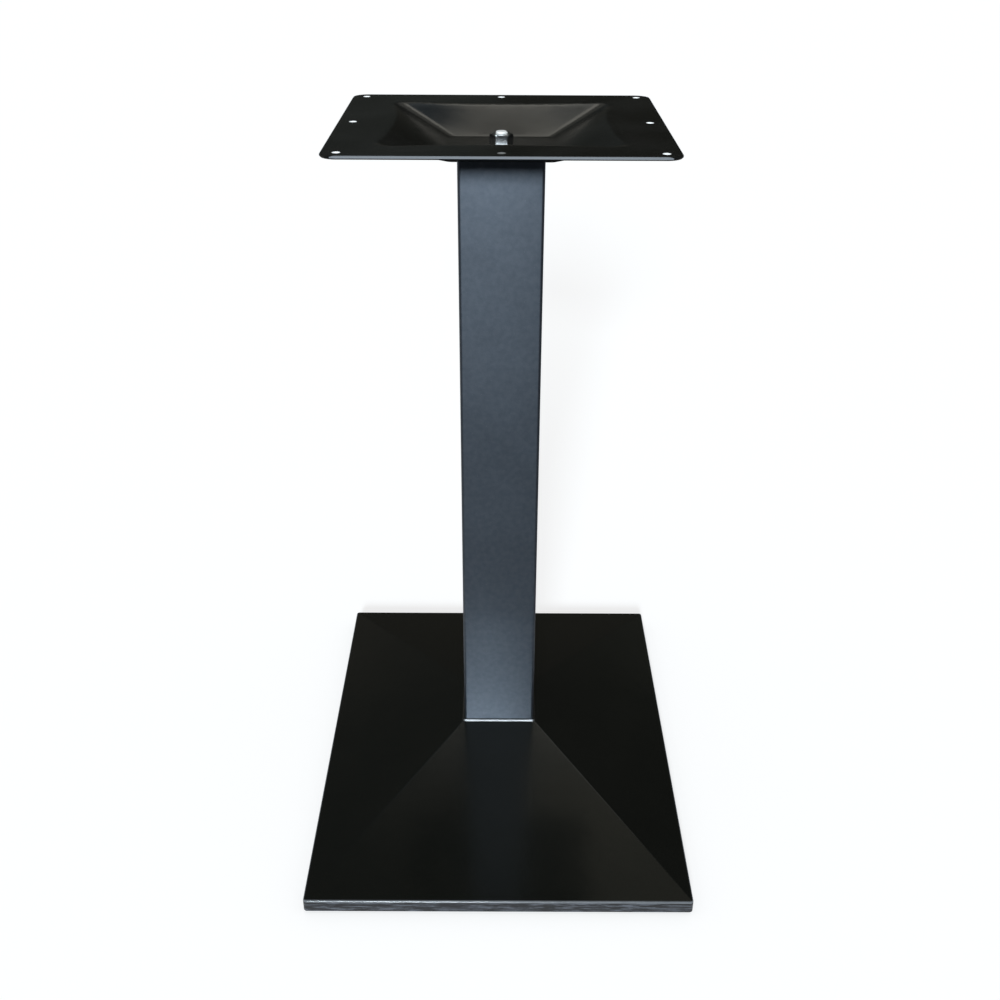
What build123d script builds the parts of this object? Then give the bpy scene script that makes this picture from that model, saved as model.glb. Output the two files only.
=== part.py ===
from build123d import *
import math
import os

os.makedirs("parts", exist_ok=True)

# Pedestal table base: a hollow cast iron pyramid on four levelling feet, a square steel
# column and a pressed steel top plate, clamped together by one threaded rod.
# Millimetres, +Z up, floor at z = 0, column on the Z axis, -Y is the front.

# Whole base
overall_height = 720.0

# Iron casting
base_width = 400.0
base_depth = 560.0
rim_lift = 4.0
rim_height = 13.5
rim_wall = 10.0
rim_corner_radius = 4.0
rim_edge_radius = 1.8
ridge_radius = 3.0
shell_wall = 7.0
seat_height = 71.0
seat_width = 84.0
seat_step = 2.5
seat_corner_radius = 3.0
seat_chamfer = 1.2
spigot_height = 8.0
spigot_wall = 9.0
spigot_chamfer = 1.5
hub_radius = 22.0
hub_bottom = 42.0
rib_width = 7.0
rib_foot_clearance = 5.0
casting_draft = 3.0

# Levelling feet
foot_inset_x = 40.0
foot_inset_y = 45.0
foot_boss_radius = 12.0
foot_boss_bottom = 8.0
foot_pad_radius = 15.0
foot_pad_top_radius = 10.5
foot_pad_flank = 5.0
foot_pad_chamfer = 1.5
foot_pad_floor = 2.0
foot_stud_radius = 4.0
foot_stud_grip = 14.0
foot_stud_head_radius = 6.5
foot_stud_head_height = 3.0
foot_stud_chamfer = 1.0
foot_hole_spare = 0.8
thread_clearance = 0.05

# Column
column_width = 80.0
column_wall = 2.0
column_corner_radius = 3.0
locating_clearance = 0.5
locating_corner_relief = 3.0

# Top plate
plate_width = 300.0
plate_thickness = 3.0
plate_corner_radius = 15.0
plate_chamfer = 1.0
dish_depth = 22.0
dish_opening = 218.0
dish_draw_in = 10.0
dish_floor = 100.0
dish_opening_corner = 10.0
dish_floor_corner = 8.0
dish_shoulder_radius = 24.0
dish_bend_radius = 8.0
screw_hole_radius = 3.5
screw_hole_spacing = 272.0
locator_thickness = 4.0

# Clamping rod and its nuts and washers
rod_radius = 6.0
rod_hole_clearance = 0.5
rod_projection = 2.0
rod_chamfer = 1.0
nut_flats = 19.0
nut_height = 10.0
nut_chamfer = 1.5
nut_chamfer_angle = 30.0
nut_turn = 0.0
top_washer_radius = 12.0
top_washer_thickness = 2.5
bottom_washer_radius = 18.0
bottom_washer_thickness = 3.0

# Levels and sizes that follow from the driving dimensions
rim_top = rim_lift + rim_height
slope_top = seat_height - seat_step
inner_width = base_width - 2 * rim_wall
inner_depth = base_depth - 2 * rim_wall
plate_underside = overall_height - plate_thickness
dish_floor_level = overall_height - dish_depth
dish_underside = dish_floor_level - plate_thickness
column_bore = column_width - 2 * column_wall
column_bore_radius = column_corner_radius - column_wall
locating_corner_radius = column_bore_radius + locating_corner_relief
locating_width = column_bore - 2 * locating_clearance
rod_hole_radius = rod_radius + rod_hole_clearance
dish_slope = math.atan2(dish_depth, (dish_opening - dish_floor) / 2 - dish_draw_in)
dish_skin = plate_thickness * math.tan(dish_slope / 2)
belly_opening = dish_opening + 2 * dish_skin
belly_floor = dish_floor + 2 * dish_skin
foot_x = base_width / 2 - foot_inset_x
foot_y = base_depth / 2 - foot_inset_y

# Faces and edges count as lying at a level when they are this close to it
level_tolerance = 0.01


def level_face(builder, level):
    """The flat face of a part at one height."""
    flat_faces = builder.faces().filter_by(Axis.Z)
    return flat_faces.filter_by_position(Axis.Z, level - level_tolerance, level + level_tolerance)[0]


def level_edges(builder, level):
    """The edges of a part at one height."""
    return builder.edges().filter_by_position(Axis.Z, level - level_tolerance, level + level_tolerance)


def half_outline(width):
    """Outline of the pyramid from its axis out to one side of the rim."""
    Polyline(
        (0, rim_lift),
        (width / 2, rim_lift),
        (width / 2, rim_top),
        (seat_width / 2, slope_top),
        (0, slope_top),
        close=True,
    )


def drawn_square(width):
    """Square whose sides are drawn in at their middles, as pressed sheet pulls away from a die."""
    corner = width / 2
    middle = corner - dish_draw_in
    ThreePointArc((corner, -corner), (middle, 0), (corner, corner))
    ThreePointArc((corner, corner), (0, middle), (-corner, corner))
    ThreePointArc((-corner, corner), (-middle, 0), (-corner, -corner))
    ThreePointArc((-corner, -corner), (0, -middle), (corner, -corner))


# Outer form of the casting: an upright rim carrying four flat slopes up to the square seat.
# It is what the outlines seen from the front and from the side have in common.
with BuildPart() as pyramid:
    with BuildSketch(Plane.XZ):
        with BuildLine():
            half_outline(base_width)
        make_face()
        mirror(about=Plane.YZ)
    extrude(amount=base_depth / 2, both=True)
    with BuildSketch(Plane.YZ):
        with BuildLine():
            half_outline(base_depth)
        make_face()
        mirror(about=Plane.YZ)
    extrude(amount=base_width / 2, both=True, mode=Mode.INTERSECT)

# Hollow underneath: the same slopes one wall lower, kept inside the rim
with BuildPart() as hollow:
    add(pyramid.part.moved(Location((0, 0, -shell_wall))))
    with BuildSketch(Plane.XY.offset(rim_lift - shell_wall)):
        RectangleRounded(inner_width, inner_depth, rim_corner_radius)
    extrude(amount=seat_height, mode=Mode.INTERSECT)

# Stiffening on the underside: a drafted hub for the rod, four ribs and four foot bosses,
# all ending inside the thickness of the slopes
with BuildPart() as stiffening:
    with BuildSketch(Plane.XY.offset(hub_bottom)):
        Circle(hub_radius)
    extrude(amount=seat_height - hub_bottom, taper=-casting_draft)
    for plane, half_span in ((Plane.XZ, inner_width / 2), (Plane.YZ, inner_depth / 2)):
        rib_foot = rim_lift + rib_foot_clearance
        rib_end = half_span + rim_wall / 2
        with BuildSketch(plane):
            with BuildLine():
                Polyline(
                    (0, hub_bottom),
                    (hub_radius, hub_bottom),
                    (half_span, rib_foot),
                    (rib_end, rib_foot),
                    (rib_end, seat_height),
                    (0, seat_height),
                    close=True,
                )
            make_face()
            mirror(about=Plane.YZ)
        extrude(amount=rib_width / 2, both=True)
    with BuildSketch(Plane.XY.offset(foot_boss_bottom)):
        with GridLocations(2 * foot_x, 2 * foot_y, 2, 2):
            Circle(foot_boss_radius)
    extrude(amount=seat_height - foot_boss_bottom, taper=-casting_draft)
    add(pyramid.part.moved(Location((0, 0, -shell_wall / 2))), mode=Mode.INTERSECT)

with BuildPart() as base_casting:
    add(pyramid.part)
    # Corners of the rim, then the ridges between the slopes, then the edge along the top of the rim
    fillet(base_casting.edges().filter_by(Axis.Z), rim_corner_radius)
    ridge_foot = rim_top + rim_corner_radius
    ridge_head = slope_top - level_tolerance
    ridges = base_casting.edges().filter_by_position(Axis.Z, ridge_foot, ridge_head)
    fillet(ridges, ridge_radius)
    fillet(level_edges(base_casting, rim_top), rim_edge_radius)
    add(hollow.part, mode=Mode.SUBTRACT)
    add(stiffening.part)
    # Seat for the column, a small step with an eased edge
    with BuildSketch(Plane.XY.offset(slope_top)):
        RectangleRounded(seat_width, seat_width, seat_corner_radius)
    extrude(amount=seat_step)
    chamfer(level_edges(base_casting, seat_height), seat_chamfer)
    # Square spigot that centres the foot of the column
    with BuildSketch(Plane.XY.offset(seat_height)):
        RectangleRounded(locating_width, locating_width, locating_corner_radius)
        Rectangle(locating_width - 2 * spigot_wall, locating_width - 2 * spigot_wall, mode=Mode.SUBTRACT)
    extrude(amount=spigot_height)
    spigot_top = level_face(base_casting, seat_height + spigot_height)
    chamfer(spigot_top.outer_wire().edges(), spigot_chamfer)
    # Hole for the rod down through seat and hub
    with BuildSketch(Plane.XY.offset(hub_bottom)):
        Circle(rod_hole_radius)
    extrude(amount=seat_height - hub_bottom, mode=Mode.SUBTRACT)
    # Blind tapped holes for the feet
    with BuildSketch(Plane.XY.offset(foot_boss_bottom)):
        with GridLocations(2 * foot_x, 2 * foot_y, 2, 2):
            Circle(foot_stud_radius + thread_clearance)
    extrude(amount=foot_stud_grip + foot_hole_spare, mode=Mode.SUBTRACT)
base_casting.part.label = "base_casting"
export_step(base_casting.part, "parts/base_casting.step")


# Column: square steel tube standing on the seat
with BuildPart() as column:
    with BuildSketch(Plane.XY.offset(seat_height)):
        RectangleRounded(column_width, column_width, column_corner_radius)
        RectangleRounded(column_bore, column_bore, column_bore_radius, mode=Mode.SUBTRACT)
    extrude(amount=dish_underside - seat_height)
column.part.label = "column"
export_step(column.part, "parts/column.step")


# Top plate: one sheet pressed down into a square dish, so that the nut stays below its face
with BuildPart() as top_plate:
    with BuildSketch(Plane.XY.offset(plate_underside)):
        RectangleRounded(plate_width, plate_width, plate_corner_radius)
    extrude(amount=plate_thickness)
    with BuildSketch(Plane.XY.offset(plate_underside)) as belly_mouth:
        with BuildLine():
            drawn_square(belly_opening)
        make_face()
        fillet(belly_mouth.vertices(), dish_opening_corner)
    with BuildSketch(Plane.XY.offset(dish_underside)):
        RectangleRounded(belly_floor, belly_floor, dish_floor_corner)
    loft(ruled=True)
    with BuildSketch(Plane.XY.offset(overall_height)) as dish_mouth:
        with BuildLine():
            drawn_square(dish_opening)
        make_face()
        fillet(dish_mouth.vertices(), dish_opening_corner)
    with BuildSketch(Plane.XY.offset(dish_floor_level)):
        RectangleRounded(dish_floor, dish_floor, dish_floor_corner)
    loft(ruled=True, mode=Mode.SUBTRACT)
    # Bends of the pressing: each is one sheet thickness tighter on its inner side
    shoulder_inside = dish_shoulder_radius - plate_thickness
    bend_outside = dish_bend_radius + plate_thickness
    fillet(level_face(top_plate, overall_height).inner_wires()[0].edges(), dish_shoulder_radius)
    fillet(level_face(top_plate, plate_underside).inner_wires()[0].edges(), shoulder_inside)
    fillet(level_face(top_plate, dish_floor_level).outer_wire().edges(), dish_bend_radius)
    fillet(level_face(top_plate, dish_underside).outer_wire().edges(), bend_outside)
    # Sheared outer edge, eased on both faces
    chamfer(level_face(top_plate, overall_height).outer_wire().edges(), plate_chamfer)
    chamfer(level_face(top_plate, plate_underside).outer_wire().edges(), plate_chamfer)
    # Screw holes round the rim and the rod hole in the floor of the dish
    with BuildSketch(Plane.XY.offset(overall_height)):
        with GridLocations(screw_hole_spacing, screw_hole_spacing, 2, 2):
            Circle(screw_hole_radius)
        with PolarLocations(screw_hole_spacing / 2, 4):
            Circle(screw_hole_radius)
        Circle(rod_hole_radius)
    extrude(amount=-(dish_depth + plate_thickness), mode=Mode.SUBTRACT)
top_plate.part.label = "top_plate"
export_step(top_plate.part, "parts/top_plate.step")


# Square plate under the dish that centres the head of the column
with BuildPart() as plate_locator:
    with BuildSketch(Plane.XY.offset(dish_underside - locator_thickness)):
        RectangleRounded(locating_width, locating_width, locating_corner_radius)
        Circle(rod_hole_radius, mode=Mode.SUBTRACT)
    extrude(amount=locator_thickness)
plate_locator.part.label = "plate_locator"
export_step(plate_locator.part, "parts/plate_locator.step")


# Levels of the clamping stack, from the nut under the hub to the nut in the dish
bottom_washer_level = hub_bottom - bottom_washer_thickness
bottom_nut_level = bottom_washer_level - nut_height
top_nut_level = dish_floor_level + top_washer_thickness
rod_bottom = bottom_nut_level - rod_projection
rod_top = top_nut_level + nut_height + rod_projection

# Threaded rod from end to end of the column
with BuildPart() as tie_rod:
    with BuildSketch(Plane.XY.offset(rod_bottom)):
        Circle(rod_radius)
    extrude(amount=rod_top - rod_bottom)
    chamfer(tie_rod.edges().filter_by(GeomType.CIRCLE), rod_chamfer)
tie_rod.part.label = "tie_rod"
export_step(tie_rod.part, "parts/tie_rod.step")


def make_washer(level, radius, thickness):
    """Flat round washer on the rod, lying on the given level."""
    with BuildPart() as washer:
        with BuildSketch(Plane.XY.offset(level)):
            Circle(radius)
            Circle(rod_hole_radius, mode=Mode.SUBTRACT)
        extrude(amount=thickness)
    return washer.part


def make_nut(level):
    """Hexagon nut on the rod, chamfered at both ends, standing on the given level."""
    corner_radius = nut_flats / math.sqrt(3)
    chamfer_height = nut_chamfer * math.tan(math.radians(nut_chamfer_angle))
    with BuildPart() as nut:
        with BuildSketch(Plane.XZ):
            with BuildLine():
                Polyline(
                    (0, level),
                    (corner_radius - nut_chamfer, level),
                    (corner_radius, level + chamfer_height),
                    (corner_radius, level + nut_height - chamfer_height),
                    (corner_radius - nut_chamfer, level + nut_height),
                    (0, level + nut_height),
                    close=True,
                )
            make_face()
        revolve(axis=Axis.Z)
        with BuildSketch(Plane.XY.offset(level)):
            RegularPolygon(nut_flats / 2, 6, major_radius=False, rotation=nut_turn)
            Circle(rod_radius + thread_clearance, mode=Mode.SUBTRACT)
        extrude(amount=nut_height, mode=Mode.INTERSECT)
    return nut.part


clamping_pieces = {
    "top_washer": make_washer(dish_floor_level, top_washer_radius, top_washer_thickness),
    "top_nut": make_nut(top_nut_level),
    "bottom_washer": make_washer(bottom_washer_level, bottom_washer_radius, bottom_washer_thickness),
    "bottom_nut": make_nut(bottom_nut_level),
}
for name, piece in clamping_pieces.items():
    piece.label = name
    export_step(piece, f"parts/{name}.step")


def make_foot_pad(x, y):
    """Nylon pad of a levelling foot, moulded round the head of its stud."""
    spindle = Plane(origin=(x, y, 0), x_dir=(1, 0, 0), z_dir=(0, -1, 0))
    pocket_top = foot_pad_floor + foot_stud_head_height
    with BuildPart() as pad:
        with BuildSketch(spindle):
            with BuildLine():
                Polyline(
                    (0, 0),
                    (foot_pad_radius - foot_pad_chamfer, 0),
                    (foot_pad_radius, foot_pad_chamfer),
                    (foot_pad_radius, foot_pad_flank),
                    (foot_pad_top_radius, foot_boss_bottom),
                    (0, foot_boss_bottom),
                    close=True,
                )
            make_face()
        revolve(axis=Axis((x, y, 0), (0, 0, 1)))
        with BuildSketch(Plane((x, y, foot_pad_floor))):
            Circle(foot_stud_head_radius)
        extrude(amount=foot_stud_head_height, mode=Mode.SUBTRACT)
        with BuildSketch(Plane((x, y, pocket_top))):
            Circle(foot_stud_radius)
        extrude(amount=foot_boss_bottom - pocket_top, mode=Mode.SUBTRACT)
    return pad.part


def make_foot_stud(x, y):
    """Steel stud of a levelling foot, screwed up into its boss."""
    head_top = foot_pad_floor + foot_stud_head_height
    with BuildPart() as stud:
        with BuildSketch(Plane((x, y, foot_pad_floor))):
            Circle(foot_stud_head_radius)
        extrude(amount=foot_stud_head_height)
        with BuildSketch(Plane((x, y, head_top))):
            Circle(foot_stud_radius)
        extrude(amount=foot_boss_bottom + foot_stud_grip - head_top)
        chamfer(stud.edges().group_by(Axis.Z)[-1], foot_stud_chamfer)
    return stud.part


for side_y, end in ((-1, "front"), (1, "back")):
    for side_x, side in ((-1, "left"), (1, "right")):
        corner = f"{end}_{side}"
        foot_pieces = {
            f"foot_pad_{corner}": make_foot_pad(side_x * foot_x, side_y * foot_y),
            f"foot_stud_{corner}": make_foot_stud(side_x * foot_x, side_y * foot_y),
        }
        for name, piece in foot_pieces.items():
            piece.label = name
            export_step(piece, f"parts/{name}.step")
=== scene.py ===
# %% [markdown]
# # A black pedestal table base
# The real thing is an iron casting shaped like a low pyramid, a square steel column and a
# pressed steel plate, drawn together by one long rod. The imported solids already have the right
# shape and size, so this lesson loads them as a fixed frame and gives them their surfaces.
# The box around the solids is kept now and compared with the finished model at the end.

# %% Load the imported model
import math

import bmesh
import bpy
from mathutils import Matrix, Vector


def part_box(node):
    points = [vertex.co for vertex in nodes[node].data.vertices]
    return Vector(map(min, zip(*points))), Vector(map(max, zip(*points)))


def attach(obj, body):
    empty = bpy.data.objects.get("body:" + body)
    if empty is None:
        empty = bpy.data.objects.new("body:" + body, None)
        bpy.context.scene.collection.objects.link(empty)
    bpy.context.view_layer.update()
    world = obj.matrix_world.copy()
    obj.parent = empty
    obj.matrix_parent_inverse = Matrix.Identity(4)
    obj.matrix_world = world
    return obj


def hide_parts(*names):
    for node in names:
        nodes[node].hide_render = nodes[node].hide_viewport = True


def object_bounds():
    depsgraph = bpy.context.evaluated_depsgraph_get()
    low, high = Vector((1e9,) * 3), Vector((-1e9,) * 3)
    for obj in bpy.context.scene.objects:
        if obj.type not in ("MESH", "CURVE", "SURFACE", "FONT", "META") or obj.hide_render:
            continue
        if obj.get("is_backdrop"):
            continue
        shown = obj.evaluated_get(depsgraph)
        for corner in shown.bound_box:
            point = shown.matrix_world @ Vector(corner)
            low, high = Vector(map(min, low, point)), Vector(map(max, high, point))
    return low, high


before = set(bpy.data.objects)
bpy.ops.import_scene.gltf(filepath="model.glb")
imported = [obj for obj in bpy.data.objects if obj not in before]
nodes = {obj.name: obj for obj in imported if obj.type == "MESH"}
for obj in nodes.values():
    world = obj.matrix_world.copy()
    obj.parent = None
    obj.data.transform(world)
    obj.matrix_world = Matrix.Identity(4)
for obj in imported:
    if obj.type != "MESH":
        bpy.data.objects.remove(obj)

cad_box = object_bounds()
sides = [round(high - low, 4) for low, high in zip(*cad_box)]
print("nodes:", len(nodes), "box in metres:", sides)

# %% [markdown]
# ## Camera
# The picture was taken from a little above the plate, looking down at the foot. The lens is
# given as a focal length in pixels of a square picture, which turns into millimetres on a 36 mm
# sensor. The picture was cropped off centre, so the lens is shifted instead of tilted: a tilt
# would change how fast the column narrows towards the floor.

# %% Camera
PICTURE = 1000.0
SENSOR = 36.0
FOCAL_PIXELS = 1225.95
AXIS_ROW = 607.09
CAMERA_PLACE = (-0.0009, -1.1886, 0.9296)
PITCH, YAW, ROLL = (math.radians(angle) for angle in (31.58, 0.08, 0.27))

forward = Vector((
    math.sin(YAW) * math.cos(PITCH),
    math.cos(YAW) * math.cos(PITCH),
    -math.sin(PITCH),
))
level_right = Vector((math.cos(YAW), -math.sin(YAW), 0.0))
level_up = level_right.cross(forward)
right = math.cos(ROLL) * level_right + math.sin(ROLL) * level_up
up = math.cos(ROLL) * level_up - math.sin(ROLL) * level_right

camera = bpy.data.objects.new("camera", bpy.data.cameras.new("camera"))
bpy.context.scene.collection.objects.link(camera)
camera.data.sensor_width = SENSOR
camera.data.lens = FOCAL_PIXELS / PICTURE * SENSOR
camera.data.shift_y = (AXIS_ROW - PICTURE / 2) / PICTURE
camera.location = CAMERA_PLACE
camera.rotation_euler = Matrix((right, up, -forward)).transposed().to_euler()
bpy.context.scene.camera = camera
bpy.context.scene.view_settings.view_transform = "Standard"
print("lens:", round(camera.data.lens, 2), "mm, shift:", round(camera.data.shift_y, 4))

# %% [markdown]
# ## White floor
# Black paint shows what stands around it, so the studio matters as much as the paint. The floor
# is one large sheet of white paper, and a bmesh grid of a single square is enough for it. It
# becomes an object at the origin. It isn't part of the table base, so it is marked as stage.

# %% White floor
FLOOR_HALF = 14.0


def link_mesh(name, bm):
    """An object at the origin from a bmesh."""
    mesh = bpy.data.meshes.new(name)
    bm.to_mesh(mesh)
    bm.free()
    piece = bpy.data.objects.new(name, mesh)
    bpy.context.scene.collection.objects.link(piece)
    return piece


bm = bmesh.new()
bmesh.ops.create_grid(bm, x_segments=1, y_segments=1, size=FLOOR_HALF)
floor = link_mesh("studio_floor", bm)
floor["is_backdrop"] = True
print("floor:", 2 * FLOOR_HALF, "m wide")

# %% [markdown]
# ## Nodes from code
# A material is a tree of nodes, and written out in full each node takes several lines. These
# short functions add a node with its values, join sockets and take the greater of two numbers,
# so that a finish reads like a recipe. A new material comes with a Principled shader, and the
# last function takes it out where paper or a card needs another one.

# %% Nodes from code


def add(tree, kind, settings=None, **inputs):
    """A node of one kind, with its settings and the values of its inputs."""
    made = tree.nodes.new(kind)
    for name, value in (settings or {}).items():
        setattr(made, name, value)
    for name, value in inputs.items():
        made.inputs[name.replace("_", " ")].default_value = value
    return made


def wire(tree, *pairs):
    """Joins sockets two by two."""
    for start, end in pairs:
        tree.links.new(start, end)


def greater(tree, first, second):
    """The greater of two numbers."""
    made = add(tree, "ShaderNodeMath", {"operation": "MAXIMUM"})
    wire(tree, (first, made.inputs[0]), (second, made.inputs[1]))
    return made.outputs[0]


def bare_material(name):
    """A material with no shader yet, returned with its node tree and its surface socket."""
    material = bpy.data.materials.new(name)
    material.use_nodes = True
    tree = material.node_tree
    tree.nodes.remove(tree.nodes["Principled BSDF"])
    return material, tree, tree.nodes["Material Output"].inputs["Surface"]


print("node helpers:", [helper.__name__ for helper in (add, wire, greater, bare_material)])

# %% [markdown]
# ## Paper that looks white
# The paper has to look white and still take a soft shadow. More light would burn out the paint,
# so the paper is a plain grey with a glow that only the eye and mirrors see. The Light Path node
# tells these rays from the ones that carry light. From below the paper is clear, so that the
# underside of the casting can be looked at.

# %% Floor paper
PAPER_GREY = (0.5, 0.5, 0.5, 1.0)
WHITE = (1.0, 1.0, 1.0, 1.0)
FLOOR_GLOW = 0.63


def seen_directly(tree):
    """1 for rays from the camera, a mirror or glass, and 0 for rays that light a surface."""
    ray = add(tree, "ShaderNodeLightPath").outputs
    mirrored = greater(tree, ray["Is Glossy Ray"], ray["Is Transmission Ray"])
    return greater(tree, ray["Is Camera Ray"], mirrored)


floor_paper, tree, surface = bare_material("floor_paper")
paper = add(tree, "ShaderNodeBsdfDiffuse", Color=PAPER_GREY)
glow = add(tree, "ShaderNodeEmission", Color=WHITE)
level = add(tree, "ShaderNodeMath", {"operation": "MULTIPLY"})
level.inputs[1].default_value = FLOOR_GLOW
lit = add(tree, "ShaderNodeAddShader")
clear = add(tree, "ShaderNodeBsdfTransparent")
side = add(tree, "ShaderNodeNewGeometry")
choose = add(tree, "ShaderNodeMixShader")
wire(
    tree,
    (seen_directly(tree), level.inputs[0]),
    (level.outputs[0], glow.inputs["Strength"]),
    (paper.outputs[0], lit.inputs[0]),
    (glow.outputs[0], lit.inputs[1]),
    (side.outputs["Backfacing"], choose.inputs["Fac"]),
    (lit.outputs[0], choose.inputs[1]),
    (clear.outputs[0], choose.inputs[2]),
    (choose.outputs[0], surface),
)
floor.data.materials.append(floor_paper)
print("floor paper:", len(tree.nodes), "nodes")

# %% [markdown]
# ## Surroundings
# A white room stands all round. As with the paper, the eye and mirrors see it full white, while
# the rays that carry light get a lower, even level. Together with the sun that follows, a surface
# then shows its colour about as it is written, so the finishes stay right under other light too.

# %% Surroundings
AMBIENT = 0.45

world = bpy.data.worlds.new("studio_world")
bpy.context.scene.world = world
world.use_nodes = True
tree = world.node_tree
background = tree.nodes["Background"]
background.inputs["Color"].default_value = WHITE
level = add(tree, "ShaderNodeMapRange", To_Min=AMBIENT, To_Max=1.0)
wire(
    tree,
    (seen_directly(tree), level.inputs["Value"]),
    (level.outputs[0], background.inputs["Strength"]),
)
print("ambient light:", AMBIENT)

# %% [markdown]
# ## Cards on the back wall
# A photographer of black things hangs dark cards where the paint would mirror the white room, and
# pale ones where it should shine. Each card is one rectangle that only mirrors can see: it throws
# no shadow and no light. The flats of the plate mirror the lower wall. The back wall of its dish
# looks higher up, at three pale panes like those of a window. The side slopes of the casting
# mirror the far ends of the lower wall.

# %% Cards on the back wall
BACK = 6.2
SIDE = 8.4
CEILING = 12.5
HUNG = BACK - 0.05
EYE_LINE = 1.4
FAR, FAR_TOP = 2.0, 3.0
LEDGE, SILL = 2.6, 4.1
PANES, WINDOW, WINDOW_TOP = 3.6, 6.3, 10.85
PANE_LEFT, PANE_RIGHT = -0.72, 0.90
DARK = (0.02, 0.02, 0.02)


def card_tone(name, tone):
    """A flat tone, as an evenly lit card looks in a mirror."""
    material, tree, surface = bare_material(name)
    flat = add(tree, "ShaderNodeEmission", Color=(*tone, 1.0))
    wire(tree, (flat.outputs[0], surface))
    material.cycles.emission_sampling = "NONE"
    return material


def hang_card(name, x, y, z, tone):
    """A card that only mirrors see. One of x, y and z is a place, the other two are ranges."""
    one, two = [axis for axis, span in enumerate((x, y, z)) if isinstance(span, tuple)]
    bm = bmesh.new()
    corners = []
    for end_one, end_two in ((0, 0), (1, 0), (1, 1), (0, 1)):
        point = [x, y, z]
        point[one] = point[one][end_one]
        point[two] = point[two][end_two]
        corners.append(bm.verts.new(point))
    bm.faces.new(corners)
    card = link_mesh(name, bm)
    card.data.materials.append(card_tone(name, tone))
    card.visible_camera = False
    card.visible_diffuse = False
    card.visible_shadow = False
    card.visible_transmission = False
    card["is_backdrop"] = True
    return card


back_cards = [
    hang_card("wall_low", (-SIDE, SIDE), BACK, (0.0, EYE_LINE), (0.042, 0.041, 0.034)),
    hang_card("wall_left", (-SIDE, 0.0), BACK, (EYE_LINE, WINDOW), (0.036, 0.040, 0.037)),
    hang_card("wall_right", (0.0, SIDE), BACK, (EYE_LINE, WINDOW), (0.020, 0.021, 0.018)),
    hang_card("far_left", (-SIDE, -FAR), HUNG, (EYE_LINE, FAR_TOP), (0.090, 0.085, 0.072)),
    hang_card("far_right", (FAR, SIDE), HUNG, (EYE_LINE, FAR_TOP), (0.065, 0.066, 0.055)),
    hang_card("panel_low", (-LEDGE, LEDGE), HUNG, (SILL, WINDOW), (0.18, 0.18, 0.16)),
    hang_card("wall_high", (-SIDE, SIDE), BACK, (WINDOW, CEILING), DARK),
    hang_card("panel_left", (-PANES, PANE_LEFT), HUNG, (WINDOW, WINDOW_TOP), (0.14, 0.18, 0.21)),
    hang_card("panel_middle", (PANE_LEFT, PANE_RIGHT), HUNG, (WINDOW, WINDOW_TOP), (1.2, 1.17, 1.05)),
    hang_card("panel_right", (PANE_RIGHT, PANES), HUNG, (WINDOW, WINDOW_TOP), (0.72, 0.73, 0.68)),
]
print("cards on the back wall:", len(back_cards))

# %% [markdown]
# ## Sides, front and ceiling
# The sides of the room are dim, and a little paler on the left. The front slope of the casting
# looks up at the ceiling close to the back wall, so two faint glows and a pale patch hang there.
# A bright panel over the front gives the upper chamfers of the plate and the nut their lights.
# The front is dark up to the sill and grey above: seen from behind, the slopes mirror that grey.

# %% Cards at the sides, the front and the ceiling
FRONT = -8.0
HALFWAY = -0.4
CEILING_FRONT = -0.2
LOWER, OVER, GLOW = (CEILING - drop for drop in (0.02, 0.05, 0.1))
PATCH_ACROSS, PATCH_DEEP = (1.0, 4.5), (2.4, 6.0)
GLOW_LEFT, GLOW_RIGHT, GLOW_DEEP = (-1.6, -0.35), (0.35, 1.9), (5.35, 6.1)
OVER_ACROSS, OVER_DEEP = (-1.4, 1.4), (-3.7, -0.45)
GREY = (0.15, 0.155, 0.16)

room_cards = [
    hang_card("side_left", -SIDE, (HALFWAY, BACK), (0.0, CEILING), (0.16, 0.16, 0.15)),
    hang_card("side_right", SIDE, (HALFWAY, BACK), (0.0, CEILING), (0.07, 0.07, 0.065)),
    hang_card("front_left", -SIDE, (FRONT, HALFWAY), (0.0, CEILING), (0.07, 0.085, 0.10)),
    hang_card("front_right", SIDE, (FRONT, HALFWAY), (0.0, CEILING), (0.03, 0.035, 0.04)),
    hang_card("wall_front", (-SIDE, SIDE), FRONT, (0.0, SILL), (0.03, 0.035, 0.043)),
    hang_card("front_high", (-SIDE, SIDE), FRONT, (SILL, CEILING), GREY),
    hang_card("ceiling", (-SIDE, SIDE), (FRONT, BACK), CEILING, (0.02, 0.021, 0.02)),
    hang_card("ceiling_front", (-SIDE, SIDE), (FRONT, CEILING_FRONT), LOWER, GREY),
    hang_card("ceiling_right", PATCH_ACROSS, PATCH_DEEP, OVER, (0.20, 0.19, 0.155)),
    hang_card("glow_left", GLOW_LEFT, GLOW_DEEP, GLOW, (0.16, 0.15, 0.125)),
    hang_card("glow_right", GLOW_RIGHT, GLOW_DEEP, GLOW, (0.50, 0.47, 0.37)),
    hang_card("panel_over", OVER_ACROSS, OVER_DEEP, OVER, (1.2, 1.17, 1.1)),
]
print("cards round the room:", len(room_cards))

# %% [markdown]
# ## Mats on the floor
# Seen from above, upright faces mirror the floor. A dark mat in front keeps the column from
# turning white, paler mats at its sides leave a soft light on its round corners, and a narrow one
# behind keeps white slivers off the belly of the dish. The floor under the casting stays bare.

# %% Mats on the floor
MAT = 0.003
MAT_FRONT, MAT_BACK, MAT_SIDE = -0.31, 0.29, 0.23

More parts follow.
